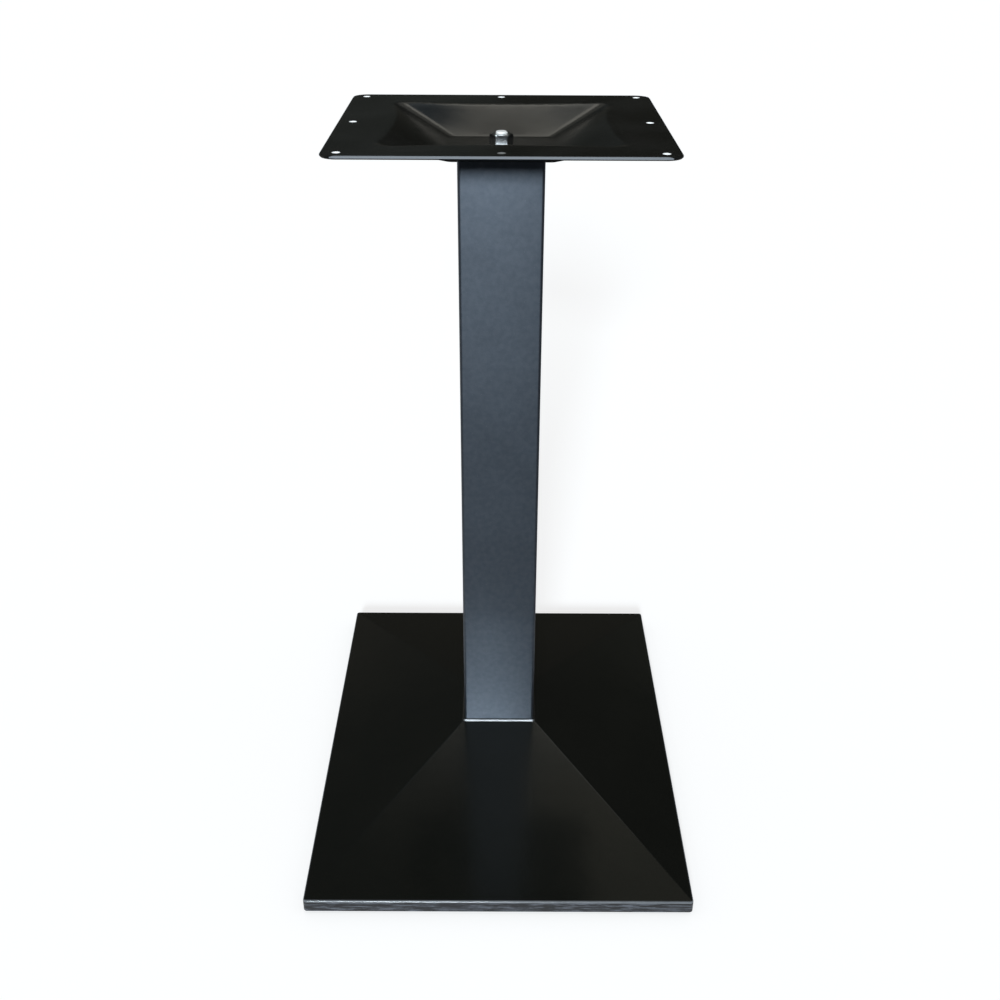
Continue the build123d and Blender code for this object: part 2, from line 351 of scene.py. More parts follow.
mats = [
    hang_card("mat_front", (-SIDE, SIDE), (FRONT, MAT_FRONT), MAT, DARK),
    hang_card("mat_back", (-MAT_SIDE, MAT_SIDE), (MAT_BACK, BACK), MAT, DARK),
    hang_card("mat_left", (-SIDE, -MAT_SIDE), (MAT_FRONT, BACK), MAT, (0.25, 0.25, 0.24)),
    hang_card("mat_right", (MAT_SIDE, SIDE), (MAT_FRONT, BACK), MAT, (0.12, 0.12, 0.12)),
]
print("mats:", len(mats))

# %% [markdown]
# ## Daylight
# The light comes from the front, some twenty degrees above the horizon, so the plate keeps it
# off the head of the column. A sun lamp lights near and far alike, which leaves the floor an even
# white, and a wide angle makes it as soft as a window. Its level is what a white sheet turned
# towards it would show.

# %% Daylight
DAYLIGHT = (0.84, 0.94, 1.0)
SUN_LEVEL = 1.05
SUN_HEIGHT, SUN_SIDE, SUN_SPREAD = (math.radians(angle) for angle in (19.0, -4.5, 9.0))

sun = bpy.data.lights.new("daylight", "SUN")
sun.energy = SUN_LEVEL * math.pi
sun.angle = SUN_SPREAD
sun.color = DAYLIGHT
daylight = bpy.data.objects.new("daylight", sun)
from_sun = Vector((
    -math.sin(SUN_SIDE) * math.cos(SUN_HEIGHT),
    math.cos(SUN_SIDE) * math.cos(SUN_HEIGHT),
    -math.sin(SUN_HEIGHT),
))
daylight.rotation_euler = from_sun.to_track_quat("-Z", "Y").to_euler()
bpy.context.scene.collection.objects.link(daylight)
print("daylight from", round(math.degrees(SUN_HEIGHT)), "degrees above the horizon")

# %% [markdown]
# ## The skin of a coat
# Every sprayed or dipped coat has a skin: fine grain, slow unevenness and a few specks of dust.
# All finishes here need it, each at its own scale, so it is a node group with two scales as
# inputs. Noise gives the grain and the unevenness. Specks are the middles of a cell pattern, and
# only cells with a high random colour keep theirs.

# %% Coat skin
NUMBER, DIRECTION = "NodeSocketFloat", "NodeSocketVector"


def new_group(name, inputs, outputs):
    """A shader node group with number inputs and the given outputs."""
    group = bpy.data.node_groups.new(name, "ShaderNodeTree")
    for socket, value in inputs.items():
        made = group.interface.new_socket(socket, in_out="INPUT", socket_type=NUMBER)
        made.default_value = value
    for socket, kind in outputs.items():
        group.interface.new_socket(socket, in_out="OUTPUT", socket_type=kind)
    return group, group.nodes.new("NodeGroupInput"), group.nodes.new("NodeGroupOutput")


skin_group, given, result = new_group(
    "coat_skin",
    {"Grain Scale": 900.0, "Broad Scale": 9.0},
    {"Grain": NUMBER, "Broad": NUMBER, "Specks": NUMBER},
)
place = add(skin_group, "ShaderNodeTexCoord")
grain = add(skin_group, "ShaderNodeTexNoise", Detail=3.0, Roughness=0.55)
broad = add(skin_group, "ShaderNodeTexNoise", Detail=4.0, Roughness=0.6)
dust = add(skin_group, "ShaderNodeTexVoronoi", {"feature": "F1"}, Scale=220.0)
small = add(skin_group, "ShaderNodeMapRange", From_Min=0.10, From_Max=0.05)
few = add(skin_group, "ShaderNodeMapRange", From_Min=0.80, From_Max=0.86)
pick = add(skin_group, "ShaderNodeSeparateColor")
both = add(skin_group, "ShaderNodeMath", {"operation": "MULTIPLY"})
wire(
    skin_group,
    (place.outputs["Object"], grain.inputs["Vector"]),
    (place.outputs["Object"], broad.inputs["Vector"]),
    (place.outputs["Object"], dust.inputs["Vector"]),
    (given.outputs["Grain Scale"], grain.inputs["Scale"]),
    (given.outputs["Broad Scale"], broad.inputs["Scale"]),
    (dust.outputs["Distance"], small.inputs["Value"]),
    (dust.outputs["Color"], pick.inputs["Color"]),
    (pick.outputs["Red"], few.inputs["Value"]),
    (small.outputs[0], both.inputs[0]),
    (few.outputs[0], both.inputs[1]),
    (grain.outputs["Fac"], result.inputs["Grain"]),
    (broad.outputs["Fac"], result.inputs["Broad"]),
    (both.outputs[0], result.inputs["Specks"]),
)
print("coat skin:", len(skin_group.nodes), "nodes")

# %% [markdown]
# ## Worn edges
# Paint is thin on edges, and wears there first. The Bevel node gives a surface direction averaged
# over a small ball. Where it differs from the true one there is an edge, and noise makes the wear
# ragged. The averaged direction is handed out too: it rounds edges for the light, as paint does
# when it flows over a corner.

# %% Worn edges
edge_group, given, result = new_group(
    "worn_edges",
    {"Radius": 0.0012, "Least": 0.02, "Most": 0.12},
    {"Worn": NUMBER, "Normal": DIRECTION},
)
rounded = add(edge_group, "ShaderNodeBevel", {"samples": 6})
true_face = add(edge_group, "ShaderNodeNewGeometry")
alike = add(edge_group, "ShaderNodeVectorMath", {"operation": "DOT_PRODUCT"})
turn = add(edge_group, "ShaderNodeMath", {"operation": "SUBTRACT"})
turn.inputs[0].default_value = 1.0
place = add(edge_group, "ShaderNodeTexCoord")
chips = add(edge_group, "ShaderNodeTexNoise", Scale=260.0, Detail=5.0, Roughness=0.7)
ragged = add(edge_group, "ShaderNodeMapRange", From_Min=0.35, From_Max=0.6)
lift = add(edge_group, "ShaderNodeMapRange")
mask = add(edge_group, "ShaderNodeMath", {"operation": "MULTIPLY"})
wire(
    edge_group,
    (given.outputs["Radius"], rounded.inputs["Radius"]),
    (rounded.outputs[0], alike.inputs[0]),
    (true_face.outputs["True Normal"], alike.inputs[1]),
    (alike.outputs["Value"], turn.inputs[1]),
    (turn.outputs[0], lift.inputs["Value"]),
    (given.outputs["Least"], lift.inputs["From Min"]),
    (given.outputs["Most"], lift.inputs["From Max"]),
    (place.outputs["Object"], chips.inputs["Vector"]),
    (chips.outputs["Fac"], ragged.inputs["Value"]),
    (lift.outputs[0], mask.inputs[0]),
    (ragged.outputs[0], mask.inputs[1]),
    (mask.outputs[0], result.inputs["Worn"]),
    (rounded.outputs[0], result.inputs["Normal"]),
)
print("worn edges:", len(edge_group.nodes), "nodes")

# %% [markdown]
# ## Masks and blends
# A finish changes from place to place: rubbed here, bare there. In nodes that is a mask, a number
# from 0 to 1 worked out from the place on the surface, and a blend that follows it. A few short
# functions add such nodes, so that each finish reads like a list of what lies on the metal.

# %% Masks and blends


def stretch(tree, value, low, high, to_low=0.0, to_high=1.0):
    """Stretches the part of a value between two limits to a new range."""
    limits = {"From_Min": low, "From_Max": high, "To_Min": to_low, "To_Max": to_high}
    made = add(tree, "ShaderNodeMapRange", **limits)
    wire(tree, (value, made.inputs["Value"]))
    return made.outputs[0]


def times(tree, first, second):
    """Two masks multiplied."""
    made = add(tree, "ShaderNodeMath", {"operation": "MULTIPLY"})
    wire(tree, (first, made.inputs[0]), (second, made.inputs[1]))
    return made.outputs[0]


def between(tree, value, low, high, soft):
    """1 where a value lies between two limits, fading out over a soft margin."""
    rise = stretch(tree, value, low - soft, low + soft)
    fall = stretch(tree, value, high + soft, high - soft)
    return times(tree, rise, fall)


def from_middle(tree, coordinate):
    """How far a coordinate lies from the middle, to either side."""
    made = add(tree, "ShaderNodeMath", {"operation": "ABSOLUTE"})
    wire(tree, (coordinate, made.inputs[0]))
    return made.outputs[0]


def mix(tree, kind, share, first, second):
    """A blend of two colours (RGBA) or two numbers (FLOAT), each a value or a socket."""
    made = add(tree, "ShaderNodeMix", {"data_type": kind})
    ending = {"RGBA": "Color", "FLOAT": "Float"}[kind]
    inputs = {socket.identifier: socket for socket in made.inputs}
    outputs = {socket.identifier: socket for socket in made.outputs}
    wire(tree, (share, inputs["Factor_Float"]))
    for value, socket in ((first, inputs["A_" + ending]), (second, inputs["B_" + ending])):
        if isinstance(value, bpy.types.NodeSocket):
            wire(tree, (value, socket))
        else:
            socket.default_value = value
    return outputs["Result_" + ending]


def bumps(tree, normal, *layers):
    """A normal with several layers of bumps. A layer is a height socket and a depth in metres."""
    for height, depth in layers:
        bump = add(tree, "ShaderNodeBump", Strength=1.0, Distance=depth)
        wire(tree, (height, bump.inputs["Height"]), (normal, bump.inputs["Normal"]))
        normal = bump.outputs[0]
    return normal


mask_helpers = (stretch, times, between, from_middle, mix, bumps)
print("mask helpers:", [helper.__name__ for helper in mask_helpers])

# %% [markdown]
# ## Enamel on the iron casting: patterns
# The casting is sprayed with black enamel, and its upright rim is scuffed in handling. The finish
# starts with the patterns that it needs: the skin of the coat, the worn edges and the scuffs. The
# scuffs run along the rim, so their noise is squeezed in height by a Mapping node. All read
# Object coordinates, which keeps them at their real size.

# %% Casting: patterns
MM = 0.001
SCUFF_SCALE = (32.0, 32.0, 360.0)


def new_finish(name):
    """A material with a plain Principled shader, returned with its node tree."""
    material = bpy.data.materials.new(name)
    material.use_nodes = True
    return material, material.node_tree, material.node_tree.nodes["Principled BSDF"]


def group_node(tree, group, **inputs):
    """A use of a shared group, with the values of its inputs."""
    made = add(tree, "ShaderNodeGroup", {"node_tree": group})
    for name, value in inputs.items():
        made.inputs[name.replace("_", " ")].default_value = value
    return made


casting_black, tree, shader = new_finish("casting_black")
skin = group_node(tree, skin_group, Grain_Scale=650.0, Broad_Scale=11.0)
edges = group_node(tree, edge_group, Radius=1.6 * MM, Least=0.03, Most=0.14)
place = add(tree, "ShaderNodeTexCoord")
spot = add(tree, "ShaderNodeSeparateXYZ")
along = add(tree, "ShaderNodeMapping", Scale=SCUFF_SCALE)
scuffs = add(tree, "ShaderNodeTexNoise", Scale=1.0, Detail=6.0, Roughness=0.75)
wire(
    tree,
    (place.outputs["Object"], spot.inputs[0]),
    (place.outputs["Object"], along.inputs["Vector"]),
    (along.outputs[0], scuffs.inputs["Vector"]),
)
height = spot.outputs["Z"]
breadth = from_middle(tree, spot.outputs["X"])
depth = from_middle(tree, spot.outputs["Y"])
print("casting patterns:", len(tree.nodes), "nodes")

# %% [markdown]
# ## Enamel on the iron casting: where it changes
# The rim is greyer than the slopes, with chipped edges, and its upper edge is rubbed to a pale
# line that also paints the highlight of that rounded edge. The seat under the column is ground
# flat after painting, and the bare iron shows in front of the column and behind it. Each of these
# places is a mask, measured from the boxes of the packed casting and column, so that it stays in
# its place if they change.

# %% Casting: where the finish changes
RIM_HEIGHT = 13.5 * MM
RIM_FADE, RIM_FULL = 0.7 * MM, 1.7 * MM
LINE_BELOW, LINE_ABOVE, LINE_SOFT = 1.5 * MM, 0.3 * MM, 0.2 * MM
RIM_LINE_FADE, RIM_LINE_FULL = 2.6 * MM, 2.2 * MM
SEAT_STEP, SEAT_ABOVE, SEAT_SOFT = 2.3 * MM, 2.0 * MM, 0.25 * MM
SEAT_FADE, SEAT_FULL = 0.2 * MM, 0.8 * MM

casting_low, casting_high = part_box("base_casting")
column_low, column_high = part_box("column")
rim_top = casting_low.z + RIM_HEIGHT
seat_top = column_low.z
seat_foot = seat_top - SEAT_STEP

on_rim = stretch(tree, height, rim_top - RIM_FADE, rim_top - RIM_FULL)
outer = greater(
    tree,
    stretch(tree, breadth, casting_high.x - RIM_LINE_FADE, casting_high.x - RIM_LINE_FULL),
    stretch(tree, depth, casting_high.y - RIM_LINE_FADE, casting_high.y - RIM_LINE_FULL),
)
upper_rim = between(tree, height, rim_top - LINE_BELOW, rim_top + LINE_ABOVE, LINE_SOFT)
patchy = stretch(tree, scuffs.outputs["Fac"], 0.3, 0.6, 0.6, 1.0)
# The pale line along the upper rim is partly rubbing and partly a painted highlight of its rounded
# edge.
rub_and_highlight = times(tree, times(tree, outer, upper_rim), patchy)
chipped = times(tree, on_rim, edges.outputs["Worn"])
ground = between(tree, height, seat_foot, seat_top + SEAT_ABOVE, SEAT_SOFT)
clear_of_column = stretch(tree, depth, column_high.y + SEAT_FADE, column_high.y + SEAT_FULL)
on_seat = times(tree, ground, clear_of_column)
print("rim up to", round(rim_top / MM, 1), "mm, seat from", round(seat_foot / MM, 1), "mm")

# %% [markdown]
# ## Enamel on the iron casting: paint and gloss
# The masks now lay the paint. Enamel runs and levels towards the rim, so it is smoother there and
# a little rougher near the column. The sand mould leaves a slightly wavy skin under the paint,
# which a slow bump gives, and a fine bump keeps the gloss from looking like glass.

# %% Casting: paint and gloss
ENAMEL = (0.0046, 0.0052, 0.0044, 1.0), (0.0084, 0.0086, 0.0070, 1.0)
RIM_PAINT = (0.004, 0.005, 0.007, 1.0), (0.082, 0.090, 0.107, 1.0)
# Pale grey for the chips, which are wear, and for the rim line, which is rubbing and also a painted
# highlight.
RIM_WEAR_AND_HIGHLIGHT = (0.16, 0.17, 0.185, 1.0)
GROUND_IRON = (0.25, 0.255, 0.265, 1.0)
ROUGH_AT_RIM, ROUGH_AT_COLUMN, ROUGH_DRIFT = 0.10, 0.19, 0.05
ROUGH_RIM, ROUGH_IRON = 0.5, 0.36


def feed(tree, shader, **outputs):
    """Joins outputs to the shader's inputs of these names."""
    for name, output in outputs.items():
        wire(tree, (output, shader.inputs[name.replace("_", " ")]))


enamel = mix(tree, "RGBA", skin.outputs["Broad"], *ENAMEL)
rim_paint = mix(tree, "RGBA", stretch(tree, scuffs.outputs["Fac"], 0.48, 0.60), *RIM_PAINT)
paint = mix(tree, "RGBA", on_rim, enamel, rim_paint)
lined = mix(tree, "RGBA", greater(tree, rub_and_highlight, chipped), paint, RIM_WEAR_AND_HIGHLIGHT)
colour = mix(tree, "RGBA", on_seat, lined, GROUND_IRON)

sloped = stretch(tree, height, rim_top, seat_foot, ROUGH_AT_RIM, ROUGH_AT_COLUMN)
uneven = add(tree, "ShaderNodeMath", {"operation": "MULTIPLY_ADD"})
uneven.inputs[1].default_value = ROUGH_DRIFT
wire(tree, (skin.outputs["Broad"], uneven.inputs[0]), (sloped, uneven.inputs[2]))
dull = mix(tree, "FLOAT", on_rim, uneven.outputs[0], ROUGH_RIM)
gloss = mix(tree, "FLOAT", on_seat, dull, ROUGH_IRON)
shape = bumps(
    tree,
    edges.outputs["Normal"],
    (skin.outputs["Broad"], 0.25 * MM),
    (skin.outputs["Grain"], 0.02 * MM),
)
shader.inputs["Specular IOR Level"].default_value = 0.48
feed(tree, shader, Base_Color=colour, Metallic=on_seat, Roughness=gloss, Normal=shape)
print("casting finish:", len(tree.nodes), "nodes")

# %% [markdown]
# ## Flake coat on the column
# The column is powder coated: dry powder with fine metal flake melts into a satin skin. The flake
# makes its faces catch the light as dark metal does, so the shader is metallic, under a thin
# clear coat. A cell pattern under a millimetre wide gives the grain, and noise a cloudy mottle.
# The faces of a rolled tube are never quite flat: a height that falls off away from the axis
# crowns them a little.

# %% Column finish
CROWN = 0.8
FLAKE = (0.195, 0.227, 0.275, 1.0), (0.228, 0.260, 0.311, 1.0)
FLAKE_SPECK = (0.32, 0.36, 0.41, 1.0)
LEVEL_ONLY = (1.0, 1.0, 0.0)

column_black, tree, shader = new_finish("column_black")
skin = group_node(tree, skin_group, Grain_Scale=1500.0, Broad_Scale=7.0)
edges = group_node(tree, edge_group, Radius=1.0 * MM, Least=0.08, Most=0.30)
place = add(tree, "ShaderNodeTexCoord")
cells = add(tree, "ShaderNodeTexVoronoi", {"feature": "SMOOTH_F1"}, Scale=1150.0, Smoothness=0.6)
cloud = add(tree, "ShaderNodeTexNoise", Scale=170.0, Detail=3.0, Roughness=0.6)
level = add(tree, "ShaderNodeVectorMath", {"operation": "MULTIPLY"})
level.inputs[1].default_value = LEVEL_ONLY
around = add(tree, "ShaderNodeVectorMath", {"operation": "DOT_PRODUCT"})
wire(
    tree,
    (place.outputs["Object"], cells.inputs["Vector"]),
    (place.outputs["Object"], cloud.inputs["Vector"]),
    (place.outputs["Object"], level.inputs[0]),
    (level.outputs[0], around.inputs[0]),
    (level.outputs[0], around.inputs[1]),
)
powder = mix(tree, "RGBA", stretch(tree, cloud.outputs["Fac"], 0.35, 0.65), *FLAKE)
colour = mix(tree, "RGBA", skin.outputs["Specks"], powder, FLAKE_SPECK)
satin = stretch(tree, skin.outputs["Broad"], 0.3, 0.7, 0.36, 0.40)
crown = stretch(tree, around.outputs["Value"], 0.0, 1.0, 0.0, -CROWN)
shape = bumps(
    tree,
    edges.outputs["Normal"],
    (crown, 1.0),
    (cells.outputs["Distance"], 0.035 * MM),
    (skin.outputs["Grain"], 0.012 * MM),
)
shader.inputs["Metallic"].default_value = 1.0
shader.inputs["Coat Weight"].default_value = 0.1
shader.inputs["Coat Roughness"].default_value = 0.15
feed(tree, shader, Base_Color=colour, Roughness=satin, Normal=shape)
print("column finish:", len(tree.nodes), "nodes")

# %% [markdown]
# ## Gloss black on the pressed plate: where it changes
# The plate is dipped and stoved. Its sheared outer edge is rubbed to grey, a grey that also
# paints the highlight along that edge. The walls of the screw holes are painted pale as a painted
# highlight, and the middle hole at the front a darker grey as a painted glint. A hole is found by
# the distance from its middle. Distances from the middle of the plate have no sign, so one such
# mask finds all four holes at the corners.

# %% Plate: where the finish changes
HOLES = 136.0 * MM
HOLE_RADIUS = 3.5 * MM
HOLE_FADE, HOLE_FULL = 0.3 * MM, 0.1 * MM
PLATE_CHAMFER = 1.0 * MM
EDGE_SOFT = 0.1 * MM


def near_hole(tree, across, along, place_across, place_along):
    """1 on the wall of a screw hole, from two coordinates and the place of the hole in them."""
    flat = add(tree, "ShaderNodeCombineXYZ")
    reach = add(tree, "ShaderNodeVectorMath", {"operation": "DISTANCE"})
    reach.inputs[1].default_value = (place_across, place_along, 0.0)
    wire(
        tree,
        (across, flat.inputs["X"]),
        (along, flat.inputs["Y"]),
        (flat.outputs[0], reach.inputs[0]),
    )
    return stretch(tree, reach.outputs["Value"], HOLE_RADIUS + HOLE_FADE, HOLE_RADIUS + HOLE_FULL)


plate_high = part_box("top_plate")[1]
plate_black, tree, shader = new_finish("plate_black")
skin = group_node(tree, skin_group, Grain_Scale=900.0, Broad_Scale=5.0)
edges = group_node(tree, edge_group, Radius=0.9 * MM, Least=0.05, Most=0.25)
place = add(tree, "ShaderNodeTexCoord")
spot = add(tree, "ShaderNodeSeparateXYZ")
film = add(tree, "ShaderNodeTexNoise", Scale=14.0, Detail=3.0, Roughness=0.5)
wire(
    tree,
    (place.outputs["Object"], spot.inputs[0]),
    (place.outputs["Object"], film.inputs["Vector"]),
)
wide = from_middle(tree, spot.outputs["X"])
deep = from_middle(tree, spot.outputs["Y"])

# Masks for the painted light in the holes: a pale painted highlight, and a grey painted glint in the
# front hole.
corner_holes = near_hole(tree, wide, deep, HOLES, HOLES)
side_holes = near_hole(tree, wide, deep, HOLES, 0.0)
back_hole = near_hole(tree, wide, spot.outputs["Y"], 0.0, HOLES)
front_hole = near_hole(tree, wide, spot.outputs["Y"], 0.0, -HOLES)
holes_painted_highlight = greater(tree, corner_holes, greater(tree, side_holes, back_hole))

# The grey band on the upper edge of the plate is rubbing and also a painted highlight along the edge.
on_edge = stretch(
    tree,
    greater(tree, wide, deep),
    plate_high.x - 1.1 * PLATE_CHAMFER,
    plate_high.x - 0.9 * PLATE_CHAMFER,
)
edge_foot = plate_high.z - 2 * PLATE_CHAMFER
edge_head = plate_high.z + PLATE_CHAMFER
rub_and_highlight = times(tree, on_edge, between(tree, spot.outputs["Z"], edge_foot, edge_head, EDGE_SOFT))
print("plate edge rubbed from", round(edge_foot / MM, 1), "mm up")

# %% [markdown]
# ## Gloss black on the pressed plate: coat and gloss
# Stoved enamel is glossier than the other coats and mirrors the room. A hazy film lifts its black
# in patches, with a few pale specks. A pressed sheet is never quite flat, so a slow waviness
# bends the mirrored lights. It is a bump, because it is far too shallow to see from the side.

# %% Plate: coat and gloss
STOVED = (0.0030, 0.0031, 0.0028, 1.0), (0.0100, 0.0102, 0.0098, 1.0)
PLATE_SPECK = (0.035, 0.034, 0.032, 1.0)
# Grey of the rubbed edge, which also paints its highlight.
EDGE_RUB_AND_HIGHLIGHT = (0.17, 0.182, 0.20, 1.0)
# Painted highlight in the screw holes, and a grey painted glint in the front hole.
HOLE_PAINTED_HIGHLIGHT = (0.90, 0.90, 0.89, 1.0)
FRONT_HOLE_PAINTED_GLINT = (0.16, 0.16, 0.155, 1.0)
ROUGH_EDGE = 0.6

coat = mix(tree, "RGBA", stretch(tree, film.outputs["Fac"], 0.42, 0.66), *STOVED)
dusty = mix(tree, "RGBA", skin.outputs["Specks"], coat, PLATE_SPECK)
edged = mix(tree, "RGBA", rub_and_highlight, dusty, EDGE_RUB_AND_HIGHLIGHT)
pierced = mix(tree, "RGBA", holes_painted_highlight, edged, HOLE_PAINTED_HIGHLIGHT)
colour = mix(tree, "RGBA", front_hole, pierced, FRONT_HOLE_PAINTED_GLINT)
stoved = stretch(tree, skin.outputs["Broad"], 0.3, 0.7, 0.12, 0.20)
gloss = mix(tree, "FLOAT", rub_and_highlight, stoved, ROUGH_EDGE)
shape = bumps(
    tree,
    edges.outputs["Normal"],
    (skin.outputs["Broad"], 0.35 * MM),
    (skin.outputs["Grain"], 0.004 * MM),
)
feed(tree, shader, Base_Color=colour, Roughness=gloss, Normal=shape)
print("plate finish:", len(tree.nodes), "nodes")

# %% [markdown]
# ## Zinc on rod, nuts and studs
# The rod, the nuts, the studs and the lower washer are zinc plated: a bright metal with a cloudy,
# slightly blue film, brighter on its edges. The end of the rod stands out above the nut in the
# dish. Its end is painted a pale, dull white that hardly looks like metal: a painted highlight.

# %% Zinc
ZINC = (0.62, 0.65, 0.70, 1.0), (0.80, 0.80, 0.78, 1.0)
ZINC_EDGE = (0.86, 0.87, 0.88, 1.0)
# Painted highlight on the end of the rod: a pale, dull, hardly metallic white.
ROD_END_PAINTED_HIGHLIGHT = (0.93, 0.93, 0.91, 1.0)
END_METAL, ROUGH_END = 0.1, 0.5
END_FADE, END_FULL = 0.1 * MM, 0.3 * MM

nut_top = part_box("top_nut")[1].z
zinc_steel, tree, shader = new_finish("zinc_steel")
skin = group_node(tree, skin_group, Grain_Scale=1400.0, Broad_Scale=60.0)
edges = group_node(tree, edge_group, Radius=0.4 * MM, Least=0.02, Most=0.2)
place = add(tree, "ShaderNodeTexCoord")
spot = add(tree, "ShaderNodeSeparateXYZ")
wire(tree, (place.outputs["Object"], spot.inputs[0]))
# The end of the rod above the nut gets the painted highlight.
rod_end_highlight = stretch(tree, spot.outputs["Z"], nut_top + END_FADE, nut_top + END_FULL)
cloud = mix(tree, "RGBA", skin.outputs["Broad"], *ZINC)
plated = mix(tree, "RGBA", edges.outputs["Worn"], cloud, ZINC_EDGE)
colour = mix(tree, "RGBA", rod_end_highlight, plated, ROD_END_PAINTED_HIGHLIGHT)
metal = stretch(tree, rod_end_highlight, 0.0, 1.0, 1.0, END_METAL)
smooth = stretch(tree, skin.outputs["Broad"], 0.3, 0.7, 0.13, 0.21)
gloss = mix(tree, "FLOAT", rod_end_highlight, smooth, ROUGH_END)
shape = bumps(tree, edges.outputs["Normal"], (skin.outputs["Grain"], 0.006 * MM))
feed(tree, shader, Base_Color=colour, Metallic=metal, Roughness=gloss, Normal=shape)
print("zinc finish:", len(tree.nodes), "nodes")

# %% [markdown]
# ## Blackened washer
# The washer in the dish is blackened steel. The black is only skin deep, so bare iron shows along
# its edges: there the colour and the metallic value rise together, with one mask for both.

# %% Blackened steel
BLACKENED = (0.010, 0.010, 0.011, 1.0), (0.024, 0.023, 0.022, 1.0)
BARE_IRON = (0.66, 0.67, 0.69, 1.0)

washer_black, tree, shader = new_finish("washer_black")
skin = group_node(tree, skin_group, Grain_Scale=1200.0, Broad_Scale=45.0)
edges = group_node(tree, edge_group, Radius=0.5 * MM, Least=0.03, Most=0.25)
thin = stretch(tree, edges.outputs["Worn"], 0.0, 1.0, 0.0, 0.6)
colour = mix(tree, "RGBA", thin, mix(tree, "RGBA", skin.outputs["Broad"], *BLACKENED), BARE_IRON)
gloss = stretch(tree, skin.outputs["Broad"], 0.3, 0.7, 0.30, 0.45)
shape = bumps(tree, edges.outputs["Normal"], (skin.outputs["Grain"], 0.008 * MM))
feed(tree, shader, Base_Color=colour, Metallic=thin, Roughness=gloss, Normal=shape)
print("washer finish:", len(tree.nodes), "nodes")

# %% [markdown]
# ## Nylon pads
# The pads of the feet are moulded in black nylon. The mould is spark eroded, which leaves a fine
# matt texture, and the edges are scuffed pale where the pads are dragged over a floor.

# %% Nylon
NYLON = (0.012, 0.012, 0.012, 1.0), (0.026, 0.026, 0.025, 1.0)
NYLON_SCUFF = (0.09, 0.09, 0.088, 1.0)

foot_nylon, tree, shader = new_finish("foot_nylon")
skin = group_node(tree, skin_group, Grain_Scale=1800.0, Broad_Scale=80.0)
edges = group_node(tree, edge_group, Radius=0.6 * MM, Least=0.03, Most=0.3)
black = mix(tree, "RGBA", skin.outputs["Broad"], *NYLON)
colour = mix(tree, "RGBA", edges.outputs["Worn"], black, NYLON_SCUFF)
gloss = stretch(tree, skin.outputs["Broad"], 0.3, 0.7, 0.50, 0.66)
shape = bumps(tree, edges.outputs["Normal"], (skin.outputs["Grain"], 0.03 * MM))
feed(tree, shader, Base_Color=colour, Roughness=gloss, Normal=shape)
print("nylon finish:", len(tree.nodes), "nodes")

# %% [markdown]
# ## Smooth copies of the large solids
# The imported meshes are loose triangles, so every bend would show its facets in gloss paint. The
# casting, column, plate, locating plate and nuts are copied, their corners are merged, and edges
# sharper than an angle stay sharp. Large flats then get the greater say in the shading of the
# vertices they share with a bend, so that they stay truly flat next to it.

# %% Smooth copies
MERGE_COPY = 0.002 * MM
FLATS_FIRST = 100


def shade_by_angle(bm, degrees):
    """Smooth shading that breaks at edges sharper than an angle."""
    limit = math.radians(degrees)
    for face in bm.faces:
        face.smooth = True
    for edge in bm.edges:
        edge.smooth = len(edge.link_faces) == 2 and edge.calc_face_angle() < limit


def dress(piece, node, body, material):
    """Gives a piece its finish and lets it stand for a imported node, on the body that carries it."""
    piece.data.materials.append(material)
    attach(piece, body)
    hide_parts(node)


def smooth_copy(name, node, material, degrees):
    """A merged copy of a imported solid, shaded smooth except at its sharp edges."""
    bm = bmesh.new()
    bm.from_mesh(nodes[node].data)
    bmesh.ops.remove_doubles(bm, verts=bm.verts, dist=MERGE_COPY)
    shade_by_angle(bm, degrees)
    piece = link_mesh(name, bm)
    weight = piece.modifiers.new("flats_first", "WEIGHTED_NORMAL")
    weight.mode = "FACE_AREA"
    weight.weight = FLATS_FIRST
    weight.keep_sharp = True
    graph = bpy.context.evaluated_depsgraph_get()
    shaded = bpy.data.meshes.new_from_object(piece.evaluated_get(graph), depsgraph=graph)
    piece.modifiers.clear()
    piece.data = shaded
    shaded.materials.clear()
    dress(piece, node, "pedestal", material)
    return piece


copies = [
    smooth_copy("iron_casting", "base_casting", casting_black, degrees=12),
    smooth_copy("square_column", "column", column_black, degrees=25),
    smooth_copy("pressed_plate", "top_plate", plate_black, degrees=25),
    smooth_copy("centring_plate", "plate_locator", plate_black, degrees=25),
    smooth_copy("dish_nut", "top_nut", zinc_steel, degrees=20),
    smooth_copy("hub_nut", "bottom_nut", zinc_steel, degrees=20),
]
print("copies:", {piece.name: len(piece.data.polygons) for piece in copies})

# %% [markdown]
# ## How a thread is made
# A thread is one notch carried round a helix. Its section is drawn once, as long as one pitch,
# then spun with a small lift at every step, so that each turn ends where the next begins. The
# helix is made too long, cut square at both ends and closed, and the tip is turned down to a
# chamfer by pulling in whatever stands outside the cone.

# %% Thread, shank and tip
STEPS = 28
SHANK_SIDES = 48
MERGE_TURN = 0.001 * MM
UPRIGHT = (0.0, 0.0, 1.0)


def join_into(bm, part):
    """Adds one bmesh to another."""
    mesh = bpy.data.meshes.new("joined")
    part.to_mesh(mesh)
    part.free()
    bm.from_mesh(mesh)
    bpy.data.meshes.remove(mesh)


